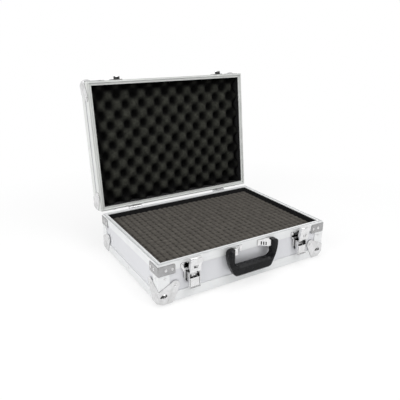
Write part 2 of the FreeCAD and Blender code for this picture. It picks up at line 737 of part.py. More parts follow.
def claw_rest(sign):
    """Claw leaning out about its pin until its tail meets the plate."""
    pin = point("0", "-pin_out", "-pin_drop")
    lean = Placement(Vector(), Rotation(Vector(1, 0, 0), number("claw_tilt")), pin)
    return latch_place(sign).multiply(lean)


def latch_claw(side, sign):
    """Bent strip: tail, eye on the pin, narrow shank, broad flanged front and a hook at the top."""
    body = new_body("latch_claw_" + side)
    half_sheet = "claw_sheet / 2"
    strip = from_front([
        ("tail_out", "-tail_drop"),
        (f"pin_out - {half_sheet}", "-pin_drop"),
        (f"pin_out - {half_sheet}", "-neck_drop"),
        ("claw_face - claw_sheet", "-knee_drop"),
        ("claw_face - claw_sheet", "claw_top - claw_sheet"),
        ("tip_out + claw_sheet", "claw_top - claw_sheet"),
        ("tip_out + claw_sheet", "claw_tip"),
        ("tip_out", "claw_tip"),
        ("tip_out", "claw_top"),
        ("claw_face", "claw_top"),
        ("claw_face", f"-knee_drop - {half_sheet}"),
        (f"pin_out + {half_sheet}", f"-neck_drop - {half_sheet}"),
        (f"pin_out + {half_sheet}", "-pin_drop"),
        ("tail_out + claw_sheet", "-tail_drop"),
    ])
    pad(body, outline(body, "YZ_Plane", strip), "claw_width")
    for hand in (1, -1):
        inner = f"{hand} * shank_width / 2"
        outer = f"{hand} * claw_width"
        waist = "-(neck_drop + knee_drop) / 2"
        foot = "-2 * tail_drop"
        notch = [(inner, waist), (outer, waist), (outer, foot), (inner, foot)]
        pocket(body, outline(body, "XZ_Plane", notch))
    soften(body, "claw_sheet", lambda edge, at: along(edge, Vector(1, 0, 0)) and near(at.z, "claw_top"))
    flange = from_front([
        ("tip_out", "claw_top - claw_sheet"),
        (f"claw_face - {half_sheet}", "claw_top - claw_sheet"),
        (f"claw_face - {half_sheet}", "-knee_drop"),
        ("claw_face - claw_sheet", "-knee_drop"),
        ("tip_out", "-flange_drop"),
    ])
    for hand in (1, -1):
        beside = f"{hand} * (claw_width - claw_sheet) / 2"
        pad(body, outline(body, "YZ_Plane", flange, beside), "claw_sheet")
    window = mirrored([
        ("window_width / 2", "-window_top"),
        ("window_width / 3", "-(window_top + window_height)"),
    ])
    pocket(body, outline(body, "XZ_Plane", window, "claw_face"), "4 * claw_sheet")
    pad(body, disc(body, "YZ_Plane", "-pin_out", "-pin_drop", "eye_radius"), "shank_width")
    pocket(body, disc(body, "YZ_Plane", "-pin_out", "-pin_drop", "pin_radius + running_gap"))
    keep(body, f"{side}_latch_claw", claw_rest(sign))


def claw_pin(side, sign):
    pin = doc.addObject("Part::Cylinder", "claw_pin_" + side)
    pin.setExpression("Radius", bound("pin_radius"))
    pin.setExpression("Height", bound("lever_width"))
    start = f"{sign} * {LATCH_X} - lever_width / 2"
    end = point(start, "-case_depth / 2 - pin_out", f"{RIM_TOP} - pin_drop")
    place = Placement(end, Rotation(Vector(0, 1, 0), 90))
    doc.recompute()
    keep(pin, f"{side}_claw_pin", place)


def catch(side, sign):
    """Plate on the lid's rim with an upturned ledge that the claw pulls down."""
    body = new_body("catch_" + side)
    top = "catch_rise + catch_height"
    plate = mirrored([("catch_width / 2", top), ("catch_width / 2", "catch_rise")])
    pad(body, outline(body, "XZ_Plane", plate), "catch_sheet", "One side")
    soften(body, "2 * catch_sheet", lambda edge, at: along(edge, Vector(0, 1, 0)) and near(at.z, top))
    ledge = from_front([
        ("catch_sheet / 2", "hook_rise"),
        ("hook_reach", "hook_rise"),
        ("hook_reach", "hook_rise + hook_sheet + hook_lip"),
        ("hook_reach - hook_lip_sheet", "hook_rise + hook_sheet + hook_lip"),
        ("hook_reach - hook_lip_sheet", "hook_rise + hook_sheet"),
        ("catch_sheet / 2", "hook_rise + hook_sheet"),
    ])
    pad(body, outline(body, "YZ_Plane", ledge), "hook_width")
    soften(body, "hook_sheet * 1.2", lambda edge, at: near(at.y, "-hook_reach") and near(at.z, "hook_rise"))
    place = upright(f"{sign} * {LATCH_X}", "-case_depth / 2", LID_RIM)
    keep(body, f"{side}_lid_catch", place, on_lid=True)


# Handle: local origin on its pivot, in the middle of the front
HANDLE_AT = ("0", "-case_depth / 2 - grip_out", f"{RIM_TOP} - grip_drop")


def handle():
    """Moulded bow with two hubs, hanging straight down from its studs."""
    body = new_body("handle_bow")
    shape = mirrored([
        (f"{GRIP_GAP} / 2", "hub_top"),
        ("grip_span / 2", "hub_top"),
        ("grip_span / 2", "-hub_bottom"),
        (f"{GRIP_FOOT} / 2", "-bar_bottom"),
    ])
    shape += [(f"-{GRIP_GAP} / 2", "-bar_top"), (f"{GRIP_GAP} / 2", "-bar_top")]
    pad(body, outline(body, "XZ_Plane", shape), "grip_depth")
    depthwise = Vector(0, 1, 0)
    soften(body, "grip_bend", lambda edge, at: along(edge, depthwise) and near(at.z, "-bar_bottom"))
    soften(body, "grip_bow", lambda edge, at: along(edge, depthwise) and near(at.z, "-hub_bottom"))
    soften(body, "grip_crook", lambda edge, at: along(edge, depthwise) and near(at.z, "-bar_top"))
    soften(body, "hub_round", lambda edge, at: along(edge, depthwise) and near(at.z, "hub_top")
           and near(abs(at.x), "grip_span / 2"))
    bevel(body, "grip_bevel", lambda edge, at: near(abs(at.y), "grip_depth / 2"))
    bore = disc(body, "YZ_Plane", "0", "0", "grip_pin + running_gap")
    pocket(body, bore, f"{GRIP_GAP} + 2 * (grip_pin_reach + grip_pin_end)")
    keep(body, "carry_handle", upright(*HANDLE_AT))


def handle_bracket(side, sign):
    """Pressed strap, closed on top, that slopes up from its foot to a cheek with the stud of one hub."""
    body = new_body("handle_bracket_" + side)
    outer = f"({GRIP_GAP} / 2 - strap_play)"
    inner = f"({outer} - strap_width)"
    section = [
        (f"{inner} - strap_foot", "0"),
        (f"{inner} - strap_foot", "strap_sheet"),
        (inner, "strap_sheet"),
        (f"{outer} - strap_flat", "strap_out"),
        (outer, "strap_out"),
        (outer, "0"),
        (f"{outer} - strap_sheet", "0"),
        (f"{outer} - strap_sheet", "strap_out - strap_sheet"),
        (f"{outer} - strap_flat + strap_sheet * 0.4", "strap_out - strap_sheet"),
        (f"{inner} + strap_sheet * 0.4", "0"),
    ]
    cover = [
        (inner, "0"),
        (inner, "strap_sheet"),
        (f"{outer} - strap_flat", "strap_out"),
        (outer, "strap_out"),
        (outer, "0"),
    ]

    def in_plan(corners):
        return [(x, f"grip_out - ({out})") for x, out in corners]

    pad(body, outline(body, "XY_Plane", in_plan(section)), "strap_height")
    top = outline(body, "XY_Plane", in_plan(cover), "strap_height / 2 - strap_sheet")
    pad(body, top, "strap_sheet", "One side")
    slot_top, slot_foot = "strap_height / 2 - 2 * strap_sheet", "-strap_height / 2 + strap_sheet"
    # Three slots across the slope
    for k in (1, 2, 3):
        near_side = f"({inner} + {k} * slot_pitch)"
        far_side = f"({near_side} - slot_width)"
        slot = [(far_side, slot_foot), (near_side, slot_foot), (near_side, slot_top), (far_side, slot_top)]
        pocket(body, outline(body, "XZ_Plane", slot))
    front = "grip_out - strap_out"
    bevel(body, "strap_sheet * 0.7", lambda edge, at: along(edge, Vector(0, 0, 1)) and near(at.y, front))
    stud = disc(body, "YZ_Plane", "0", "0", "grip_pin", f"{outer} - strap_sheet")
    pad(body, stud, "strap_sheet + strap_play + grip_pin_reach", "One side")
    body.Placement = Placement(point(*HANDLE_AT), Rotation(Vector(0, 1, 0), 0 if sign > 0 else 180))
    return body


# Hinges: local origin on the pin
def hinge_leaf(side, sign, on_lid):
    """Leaf on the back face with its share of the knuckles."""
    body = new_body(("lid" if on_lid else "base") + "_hinge_" + side)
    up = 1 if on_lid else -1
    clear = "(knuckle_radius + knuckle_gap)"
    own = "(knuckle_middle / 2)" if on_lid else "(knuckle_middle / 2 + knuckle_gap)"
    middle_low, outer_low = ("0", f"{up} * {clear}") if on_lid else (f"{up} * {clear}", "0")
    plate = mirrored([
        ("hinge_width / 2", f"{up} * hinge_leaf"),
        ("hinge_width / 2", outer_low),
        (own, outer_low),
        (own, middle_low),
    ])
    sketch = outline(body, "XZ_Plane", plate, "hinge_offset")
    pad(body, sketch, "hinge_sheet", "One side", back=True)
    far = f"{up} * hinge_leaf"
    bevel(body, "2 * hinge_sheet", lambda edge, at: along(edge, Vector(0, 1, 0)) and near(at.z, far))
    barrel = disc(body, "YZ_Plane", "0", "0", "knuckle_radius")
    if on_lid:
        pad(body, barrel, "knuckle_middle")
    else:
        pad(body, barrel, "hinge_width")
        pocket(body, disc(body, "YZ_Plane", "0", "0", clear), "knuckle_middle + 2 * knuckle_gap")
    pocket(body, disc(body, "YZ_Plane", "0", "0", "hinge_pin + running_gap"))
    body.Placement = upright(f"{sign} * {HINGE_X}", HINGE_Y, HINGE_Z)
    return body


def hinges():
    """Two hinges: a leaf on the base, a leaf on the lid and a pin each."""
    on_base = [hinge_leaf(side, sign, on_lid=False) for side, sign in PAIR]
    on_lid = [hinge_leaf(side, sign, on_lid=True) for side, sign in PAIR]
    keep(group("base_leaves", on_base), "base_hinge_leaves")
    keep(group("lid_leaves", on_lid), "lid_hinge_leaves", on_lid=True)
    pins = []
    for side, sign in PAIR:
        pin = doc.addObject("Part::Cylinder", "hinge_pin_" + side)
        pin.setExpression("Radius", bound("hinge_pin"))
        pin.setExpression("Height", bound("hinge_width"))
        start = f"{sign} * {HINGE_X} - hinge_width / 2"
        pin.Placement = Placement(point(start, HINGE_Y, HINGE_Z), Rotation(Vector(0, 1, 0), 90))
        pins.append(pin)
    keep(group("hinge_pin_pair", pins), "hinge_pins")


def hardware():
    keep(group("plates", [latch_plate(side, sign) for side, sign in PAIR]), "latch_plates")
    for side, sign in PAIR:
        latch_lever(side, sign)
        latch_claw(side, sign)
        claw_pin(side, sign)
        catch(side, sign)
    keep(group("straps", [handle_bracket(side, sign) for side, sign in PAIR]), "handle_brackets")
    handle()
    hinges()


def export():
    """Write every sub-part once all of them are sound."""
    doc.recompute()
    for obj in doc.Objects:
        if "Invalid" in obj.State or "Error" in obj.State:
            raise ValueError(f"{obj.Label} failed: {obj.State}")
    for label, obj in parts.items():
        if obj.Shape.isNull() or not obj.Shape.isValid() or not obj.Shape.Solids:
            raise ValueError(f"{label} has no sound shape")
    os.makedirs("parts", exist_ok=True)
    for label, obj in parts.items():
        obj.Shape.exportStep(f"parts/{label}.step")
    print(len(parts), "sub-parts")


panels()
profiles()
posts()
rim_brackets()
ball_corners()
foam()
hardware()
export()
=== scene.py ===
import json
import math

import bpy
from mathutils import Matrix, Vector, noise

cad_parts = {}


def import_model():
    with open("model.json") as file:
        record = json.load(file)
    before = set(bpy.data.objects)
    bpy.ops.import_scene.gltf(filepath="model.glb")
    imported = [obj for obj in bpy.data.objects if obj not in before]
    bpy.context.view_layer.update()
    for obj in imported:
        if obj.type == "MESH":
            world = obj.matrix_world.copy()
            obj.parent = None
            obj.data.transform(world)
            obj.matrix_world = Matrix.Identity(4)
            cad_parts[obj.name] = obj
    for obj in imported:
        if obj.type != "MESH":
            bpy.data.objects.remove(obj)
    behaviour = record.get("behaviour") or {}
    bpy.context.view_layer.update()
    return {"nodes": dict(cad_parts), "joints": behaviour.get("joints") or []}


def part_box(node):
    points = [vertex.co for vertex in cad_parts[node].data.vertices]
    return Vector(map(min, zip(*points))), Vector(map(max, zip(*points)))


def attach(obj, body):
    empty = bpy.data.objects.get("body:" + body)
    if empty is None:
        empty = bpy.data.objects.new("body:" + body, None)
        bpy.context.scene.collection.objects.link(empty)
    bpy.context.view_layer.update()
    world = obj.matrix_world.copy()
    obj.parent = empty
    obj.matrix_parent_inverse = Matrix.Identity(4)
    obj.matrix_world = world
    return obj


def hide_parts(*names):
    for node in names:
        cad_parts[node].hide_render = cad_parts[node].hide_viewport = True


# Looks of the aluminium case: materials, foam, felt, rivets, light and camera.
# Metres, in the frame of the solids.

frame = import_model()
NODES = frame["nodes"]
MM = 0.001

# Sizes of the case that the boxes of its solids don't give by themselves
LID_HEIGHT = 51 * MM
WALL_INSET = 8.8 * MM
HINGE_HALF_WIDTH = 19 * MM
CORNER_SHEET = 1.2 * MM
PLATE_SHEET = 1.5 * MM
FELT_DROP = 2 * MM

# Case sizes read from the solids
CASE_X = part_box("base_right_rim_profile")[1].x
CASE_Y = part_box("base_back_rim_profile")[1].y
BASE_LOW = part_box("base_front_edge_profile")[0].z
RIM_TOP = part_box("base_front_rim_profile")[1].z
FOAM_LOW, FOAM_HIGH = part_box("base_foam")
JOINTS = {joint["name"]: joint for joint in frame["joints"]}
HINGE = Vector(JOINTS["lid_hinge"]["pos_m"])
LID_ANGLE = math.radians(JOINTS["lid_hinge"]["range_deg"][1])
GRIP_Z = JOINTS["handle_swing"]["pos_m"][2]
LATCH_X = abs(JOINTS["left_lever_lift"]["pos_m"][0])
HINGE_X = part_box("base_hinge_leaves")[1].x - HINGE_HALF_WIDTH
# Lid pieces are laid out with the lid shut and then swung open
LID_RIM = 2 * HINGE.z - RIM_TOP
LID_TOP = LID_RIM + LID_HEIGHT
LID_OPEN = Matrix.Translation(HINGE) @ Matrix.Rotation(-LID_ANGLE, 4, "X") @ Matrix.Translation(-HINGE)


# Node helpers
def grey(level, tint=(1, 1, 1)):
    return tuple(level * part for part in tint)


class Shader:
    """Node tree of one material, with short calls to add and join nodes."""

    def __init__(self, name):
        self.material = bpy.data.materials.new(name)
        self.material.use_nodes = True
        self.tree = self.material.node_tree
        self.surface = self.tree.nodes["Principled BSDF"]

    def add(self, kind, **settings):
        node = self.tree.nodes.new("ShaderNode" + kind)
        for key, value in settings.items():
            if hasattr(node, key):
                setattr(node, key, value)
            else:
                node.inputs[key.replace("_", " ")].default_value = value
        return node

    def join(self, source, target):
        self.tree.links.new(source, target)

    def set(self, **values):
        for key, value in values.items():
            self.surface.inputs[key.replace("_", " ")].default_value = value

    def place(self, scale=(1, 1, 1), turn=(0, 0, 0)):
        """Coordinates fixed to the piece, stretched and turned."""
        coords = self.add("TexCoord")
        mapping = self.add("Mapping", Scale=scale, Rotation=turn)
        self.join(coords.outputs["Object"], mapping.inputs["Vector"])
        return mapping.outputs["Vector"]

    def noise(self, where, size, detail=3.0, roughness=0.6):
        node = self.add("TexNoise", Scale=1 / size, Detail=detail, Roughness=roughness)
        self.join(where, node.inputs["Vector"])
        return node.outputs["Fac"]

    def spread(self, value, low, high, start=0.0, end=1.0):
        """Map a value's span from start to end on to low to high."""
        node = self.add("MapRange", From_Min=start, From_Max=end, To_Min=low, To_Max=high)
        self.join(value, node.inputs["Value"])
        return node.outputs["Result"]

    def ramp(self, value, stops):
        node = self.add("ValToRGB")
        elements = node.color_ramp.elements
        while len(elements) < len(stops):
            elements.new(0.5)
        for element, (at, colour) in zip(elements, stops):
            element.position = at
            element.color = (*colour, 1)
        self.join(value, node.inputs["Fac"])
        return node.outputs["Color"]

    def bump(self, height, depth, strength=1.0, onto=None):
        node = self.add("Bump", Strength=strength, Distance=depth)
        self.join(height, node.inputs["Height"])
        if onto is not None:
            self.join(onto, node.inputs["Normal"])
        return node.outputs["Normal"]

    def mixed(self, factor, first, second):
        """Colour that goes from the first to the second."""
        node = self.add("Mix", data_type="RGBA")
        for socket, value in ((node.inputs[0], factor), (node.inputs[6], first), (node.inputs[7], second)):
            if isinstance(value, tuple):
                socket.default_value = (*value, 1)
            else:
                self.join(value, socket)
        return node.outputs[2]

    def painted_crevice_shade(self, colour, reach, dark):
        """Colour darkened by painted shade, found by ambient occlusion, in the crevices within reach of
        another surface.
        """
        near = self.add("AmbientOcclusion", samples=8, Distance=reach)
        open_face = self.spread(near.outputs["AO"], 0.0, 1.0, 0.25, 0.85)
        return self.mixed(open_face, grey(dark), colour)

    def finish(self, colour=None, roughness=None, normal=None):
        for source, name in ((colour, "Base Color"), (roughness, "Roughness"), (normal, "Normal")):
            if source is not None:
                self.join(source, self.surface.inputs[name])
        return self.material


# Materials
def brushed_aluminium(name, shade, metallic, dark, stretch, turn=(0, 0, 0)):
    """Satin extrusion with fine drawing lines along its length, and painted shade in its crevices."""
    shader = Shader(name)
    lines = shader.noise(shader.place(stretch, turn), 1.0, detail=4.0)
    cloud = shader.noise(shader.place(), 45 * MM, detail=2.0)
    face = shader.ramp(cloud, [(0.3, grey(0.93, shade)), (0.7, shade)])
    drawn = shader.mixed(shader.spread(lines, 0.0, 0.4, 0.35, 0.75), face, grey(0.77, shade))
    # Painted shade: the colour goes to the grey dark in crevices within 2.5 mm of another surface
    colour = shader.painted_crevice_shade(drawn, 2.5 * MM, dark)
    shader.set(Metallic=metallic)
    roughness = shader.spread(lines, 0.3, 0.46, 0.3, 0.7)
    return shader.finish(colour, roughness, shader.bump(lines, 0.05 * MM, 0.35))


def laminate():
    """Silver laminate with a fine pebbled skin."""
    shader = Shader("silver_laminate")
    where = shader.place()
    pebble = shader.add("TexVoronoi", Scale=1 / (1.1 * MM), feature="SMOOTH_F1", Smoothness=0.6)
    shader.join(where, pebble.inputs["Vector"])
    cloud = shader.noise(where, 60 * MM, detail=3.0)
    colour = shader.ramp(cloud, [(0.3, (0.695, 0.70, 0.725)), (0.7, (0.722, 0.727, 0.752))])
    shader.set(Metallic=0.2)
    roughness = shader.spread(cloud, 0.40, 0.45, 0.3, 0.7)
    return shader.finish(colour, roughness, shader.bump(pebble.outputs["Distance"], 0.06 * MM, 0.3))


def plated_steel(name, level, sleek, dull, reach=4 * MM):
    """Plating with faint hairlines, whose roughness goes from sleek to dull where it is rubbed, whose colour
    is clouded by painted reflection, and which has painted shade in crevices.
    """
    shader = Shader(name)
    where = shader.place()
    wear_and_painted_reflection = shader.noise(where, 16 * MM, detail=3.0)
    hairs = shader.noise(shader.place((1500, 120, 1500), (0.3, 0.5, 0.7)), 1.0, detail=2.0)
    # Painted reflection: the plating goes lighter and darker in clouds, standing in for the uneven
    # reflections of mirror plating
    plating = shader.ramp(wear_and_painted_reflection, [(0.35, grey(level * 0.82)), (0.65, grey(level, (1, 1, 1.01)))])
    # Painted shade: darker in crevices within reach of another surface
    colour = shader.painted_crevice_shade(plating, reach, 0.08 * level)
    shader.set(Metallic=1.0)
    roughness = shader.spread(wear_and_painted_reflection, sleek, dull, 0.3, 0.75)
    return shader.finish(colour, roughness, shader.bump(hairs, 0.02 * MM, 0.25))


def moulded_plastic():
    """Black moulded handle with a fine leather-like grain."""
    shader = Shader("moulded_plastic")
    where = shader.place()
    grain = shader.add("TexVoronoi", Scale=1 / (0.9 * MM), feature="F1")
    shader.join(where, grain.inputs["Vector"])
    wear = shader.noise(where, 18 * MM, detail=4.0)
    colour = shader.ramp(wear, [(0.3, (0.005, 0.0052, 0.0058)), (0.75, (0.010, 0.0104, 0.0115))])
    shader.surface.inputs["Specular IOR Level"].default_value = 0.14
    roughness = shader.spread(wear, 0.2, 0.34, 0.3, 0.7)
    return shader.finish(colour, roughness, shader.bump(grain.outputs["Distance"], 0.08 * MM, 0.35))


def foam_material(name, dark, light, cell, sheen, shade):
    """Open-cell foam: pores at two scales, a dusty sheen, and painted shade in its cuts and dips from a
    point attribute.
    """
    shader = Shader(name)
    where = shader.place()
    pores = shader.add("TexVoronoi", Scale=1 / cell, feature="F1")
    shader.join(where, pores.inputs["Vector"])
    blotch = shader.noise(where, 9 * MM, detail=5.0)
    spots = shader.spread(pores.outputs["Distance"], 0.0, 1.0, 0.15, 0.6)
    tone = shader.mixed(spots, grey(0.55, dark), dark)
    face = shader.mixed(shader.spread(blotch, 0.0, 1.0, 0.3, 0.7), tone, light)
    # Painted shade: the colour goes towards black by a point attribute that the foam meshes carry
    painted_shade = shader.add("Attribute", attribute_name="painted_shade")
    colour = shader.mixed(shader.spread(painted_shade.outputs["Fac"], 0.0, shade), face, (0.0, 0.0, 0.0))
    shader.set(Roughness=0.95, Sheen_Weight=sheen, Sheen_Roughness=0.6)
    shader.surface.inputs["Specular IOR Level"].default_value = 0.15
    rough = shader.bump(blotch, 0.5 * MM, 0.4)
    return shader.finish(colour, None, shader.bump(pores.outputs["Distance"], 0.5 * MM, 0.6, onto=rough))


def felt():
    """Black needled felt with stray fibres."""
    shader = Shader("black_felt")
    where = shader.place()
    fibres = shader.noise(shader.place((700, 260, 420), (0.4, 0.9, 0.2)), 1.0, detail=5.0, roughness=0.75)
    fuzz = shader.noise(where, 1.2 * MM, detail=4.0)
    colour = shader.ramp(fibres, [(0.35, (0.006, 0.006, 0.006)), (0.75, (0.022, 0.022, 0.023))])
    shader.set(Roughness=1.0, Sheen_Weight=0.05, Sheen_Roughness=0.5)
    shader.surface.inputs["Specular IOR Level"].default_value = 0.1
    return shader.finish(colour, None, shader.bump(fuzz, 0.4 * MM, 0.7))


# Noise scales along and across the drawing lines of the extrusions
LINE, FINE = 6, 1600
# dark is the grey of the painted crevice shade. The lid's copy of the same aluminium is darker, painted
# shade for its darker rim, with darker painted crevice shade
BASE_METAL = {"shade": (0.85, 0.86, 0.865), "metallic": 0.2, "dark": 0.62}
LID_METAL = {"shade": (0.80, 0.815, 0.795), "metallic": 0.48, "dark": 0.3}
BASE_X = brushed_aluminium("base_aluminium_x", stretch=(LINE, FINE, FINE), **BASE_METAL)
BASE_Y = brushed_aluminium("base_aluminium_y", stretch=(FINE, LINE, FINE), **BASE_METAL)
LID_X = brushed_aluminium("lid_aluminium_x", stretch=(LINE, FINE, FINE), **LID_METAL)
LID_Y = brushed_aluminium("lid_aluminium_y", stretch=(FINE, LINE, FINE), turn=(LID_ANGLE, 0, 0), **LID_METAL)
LAMINATE = laminate()
# reach is how far from another surface the painted crevice shade spreads
CHROME = plated_steel("nickel_plate", level=0.75, sleek=0.05, dull=0.13, reach=2.5 * MM)
LATCH = plated_steel("latch_plate", level=0.84, sleek=0.05, dull=0.12, reach=20 * MM)
LEVER = plated_steel("lever_plate", level=0.82, sleek=0.2, dull=0.32, reach=20 * MM)
# Painted reflection: the rim brackets take a much darker copy of the plating, for the grey their mirror
# faces show
BRACKET = plated_steel("bracket_plate_painted_dark", level=0.42, sleek=0.14, dull=0.26)
HINGE_STEEL = plated_steel("hinge_plate", level=0.62, sleek=0.20, dull=0.34)
STRAP = plated_steel("strap_plate", level=0.84, sleek=0.08, dull=0.2, reach=18 * MM)
RIVET = plated_steel("rivet_alloy", level=0.92, sleek=0.26, dull=0.38, reach=1.2 * MM)
PLASTIC = moulded_plastic()
GREY_FOAM = foam_material(
    "grey_foam",
    dark=(0.064, 0.0585, 0.0515),
    light=(0.101, 0.0925, 0.081),
    cell=0.9 * MM,
    sheen=0.02,
    shade=0.9,
)
BLACK_FOAM = foam_material(
    "black_foam",
    dark=(0.021, 0.0215, 0.0175),
    light=(0.042, 0.043, 0.035),
    cell=1.0 * MM,
    sheen=0.0,
    shade=0.97,
)
FELT = felt()


def node_material(name):
    if "lever" in name:
        return LEVER
    if "profile" in name or "posts" in name:
        lengthwise = "front" in name or "back" in name
        if name.startswith("lid"):
            return LID_X if lengthwise else LID_Y
        return BASE_X if lengthwise else BASE_Y
    if "panel" in name:
        return LAMINATE
    if name == "carry_handle":
        return PLASTIC
    if name == "rim_brackets":
        return BRACKET
    if "hinge" in name or "pin" in name:
        return HINGE_STEEL
    if name == "handle_brackets":
        return STRAP
    if "latch" in name or "catch" in name:
        return LATCH
    return CHROME


def soften(node, width, segments=2):
    """Small rounds on the hard edges of a solid, so that they catch the light."""
    weld = node.modifiers.new("weld", "WELD")
    weld.merge_threshold = 0.01 * MM
    bevel = node.modifiers.new("edges", "BEVEL")
    bevel.width = width
    bevel.segments = segments
    bevel.limit_method = "ANGLE"
    bevel.angle_limit = math.radians(30)
    bevel.harden_normals = True


for name, node in NODES.items():
    node.data.materials.clear()
    node.data.materials.append(node_material(name))
soften(NODES["carry_handle"], width=1.6 * MM, segments=3)
for name in ("base_ball_corners", "lid_ball_corners"):
    soften(NODES[name], width=0.6 * MM, segments=3)
PRESSED = ["handle_brackets", "latch_plates", "rim_brackets"]
for side in ("left", "right"):
    PRESSED += [f"{side}_latch_lever", f"{side}_latch_claw", f"{side}_lid_catch"]
for name in PRESSED:
    soften(NODES[name], width=0.35 * MM)


# Mesh helpers
def piece(name, vertices, faces, material, body, smooth=True, painted_shade_levels=None):
    """New mesh that rides on a body; the optional levels give the painted shade of each point, in cuts, dips
    and along borders.
    """
    mesh = bpy.data.meshes.new(name)
    mesh.from_pydata([tuple(v) for v in vertices], [], faces)
    mesh.materials.append(material)
    if painted_shade_levels is not None:
        layer = mesh.attributes.new("painted_shade", "FLOAT", "POINT")
        layer.data.foreach_set("value", painted_shade_levels)
    mesh.validate()
    for polygon in mesh.polygons:
        polygon.use_smooth = smooth
    made = bpy.data.objects.new(name, mesh)
    bpy.context.scene.collection.objects.link(made)
    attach(made, body)
    return made


def wobble(point, size, seed):
    """Smooth random value between about -1 and 1."""
    return noise.noise(Vector(point) / size + Vector((seed, 2 * seed, 3 * seed)))


def closed_slab(columns, rows, top, bottom):
    """Closed sheet from two functions of the column and row: its shaped face and its back."""
    across, down = columns + 1, rows + 1
    vertices = [top(i, j) for j in range(down) for i in range(across)]
    faces = []
    for j in range(rows):
        for i in range(columns):
            a = j * across + i
            faces.append((a, a + 1, a + 1 + across, a + across))
    rim = [i for i in range(across)]
    rim += [j * across + columns for j in range(1, down)]
    rim += [rows * across + i for i in range(columns - 1, -1, -1)]
    rim += [j * across for j in range(rows - 1, 0, -1)]
    start = len(vertices)
    for k in rim:
        vertices.append(bottom(k % across, k // across))
    count = len(rim)
    for k in range(count):
        following = (k + 1) % count
        faces.append((rim[following], rim[k], start + k, start + following))
    faces.append(tuple(start + k for k in reversed(range(count))))
    return vertices, faces


# Base foam: one block scored through in a grid, so that single cubes can be plucked out
def base_foam():
    pitch = 15.5 * MM
    size = FOAM_HIGH - FOAM_LOW
    columns = round(size.x / pitch)
    rows = round(size.y / pitch)
    cut_depth, cut_half = 2.6 * MM, 1.1 * MM
    hole_depth, hole_half = 4.5 * MM, 2.6 * MM
    # The cuts along X are fainter, and the holes where two cuts cross are longer along Y
    faint_share, hole_stretch = 0.5, 1.5
    crown_rise = 0.6 * MM
    uneven_rise, uneven_size = 0.35 * MM, 22 * MM
    ragged_size = 9 * MM
    slit_shade, hole_shade = 0.5, 0.85
    # Stations inside one cell, closer together beside the cuts
    inside = [0.0, 0.05, 0.10, 0.16, 0.26, 0.5, 0.74, 0.84, 0.90, 0.95]
    steps = len(inside)

    def station(k, cells, low, length):
        cell, step = divmod(k, steps)
        part = inside[step] if cell < cells else 0.0
        return low + (cell + part) / cells * length

    def nearest_cut(value, low, length, cells):
        cell = length / cells
        offset = (value - low) % cell
        return min(offset, cell - offset)

    def place(i, j):
        x = station(i, columns, FOAM_LOW.x, size.x)
        y = station(j, rows, FOAM_LOW.y, size.y)
        cut_x = nearest_cut(x, FOAM_LOW.x, size.x, columns)
        cut_y = nearest_cut(y, FOAM_LOW.y, size.y, rows)
        return x, y, cut_x, cut_y

    def depth(i, j):
        """How far a point lies in a slit, and in the hole where two slits cross, as shares."""
        x, y, cut_x, cut_y = place(i, j)
        slit = max(math.exp(-(cut_x / cut_half) ** 2), faint_share * math.exp(-(cut_y / cut_half) ** 2))
        hole = math.exp(-(cut_x ** 2 + (cut_y / hole_stretch) ** 2) / hole_half ** 2)
        ragged = 0.7 + 0.3 * wobble((x, y, 0), ragged_size, 4)
        return slit * ragged, hole * ragged

    def top(i, j):
        x, y, cut_x, cut_y = place(i, j)
        slit, hole = depth(i, j)
        crown = crown_rise * math.sin(math.pi * cut_x / pitch) * math.sin(math.pi * cut_y / pitch)
        uneven = uneven_rise * wobble((x, y, 0), uneven_size, 3)
        sunk = max(cut_depth * slit, hole_depth * hole)
        return Vector((x, y, FOAM_HIGH.z - sunk + crown + uneven))

    def bottom(i, j):
        at = top(i, j)
        return Vector((at.x, at.y, FOAM_LOW.z))

    across, down = columns * steps, rows * steps
    vertices, faces = closed_slab(across, down, top, bottom)
    depths = [depth(i, j) for j in range(down + 1) for i in range(across + 1)]
    # Painted shade in the slits, darker in the holes where two slits cross
    painted_shade_levels = [min(1.0, slit_shade * slit + hole_shade * hole) for slit, hole in depths]
    painted_shade_levels += [0.0] * (len(vertices) - len(painted_shade_levels))
    made = piece("base_foam_block", vertices, faces, GREY_FOAM, "base", painted_shade_levels=painted_shade_levels)
    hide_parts("base_foam")


# Lid foam: egg-crate sheet with peaks and hollows that alternate like a chessboard
def lid_foam():
    half_x, half_y = FOAM_HIGH.x, FOAM_HIGH.y
    pitch_x, pitch_y = 23 * MM, 26 * MM
    peak = LID_RIM + 12 * MM
    relief, steepness = 19 * MM, 1.6
    back = LID_TOP - WALL_INSET
    uneven_rise, uneven_size = 0.5 * MM, 18 * MM
    hollow_shade, border_shade, border_cells = 1.6, 0.8, 1.4
    fine = 8
    across = round(2 * half_x / pitch_x) * fine
    down = round(2 * half_y / pitch_y) * fine

    def place(i, j):
        return -half_x + 2 * half_x * i / across, -half_y + 2 * half_y * j / down

    def depth(i, j):
        """Share of the relief: broad ridges join the peaks, round steep hollows."""
        wave = math.cos(math.pi * i / fine) * math.cos(math.pi * j / fine)
        return (0.5 + 0.5 * wave) ** steepness

    def top(i, j):
        x, y = place(i, j)
        uneven = abs(uneven_rise * wobble((x, y, 0), uneven_size, 7))
        return LID_OPEN @ Vector((x, y, peak + relief * depth(i, j) + uneven))

    def bottom(i, j):
        return LID_OPEN @ Vector((*place(i, j), back))

    def shade(i, j):
        """Painted shade in the dips, and a painted shadow of the rim along the borders."""
        edge = min(i, j, across - i, down - j) / fine
        border = max(0.0, 1 - edge / border_cells)
        return min(1.0, hollow_shade * depth(i, j) + border_shade * border)

    vertices, faces = closed_slab(across, down, top, bottom)
    faces = [face[::-1] for face in faces]
    painted_shade_levels = [shade(i, j) for j in range(down + 1) for i in range(across + 1)]
    painted_shade_levels += [1.0] * (len(vertices) - len(painted_shade_levels))
    made = piece("lid_egg_crate", vertices, faces, BLACK_FOAM, "lid", painted_shade_levels=painted_shade_levels)
    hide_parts("lid_foam")


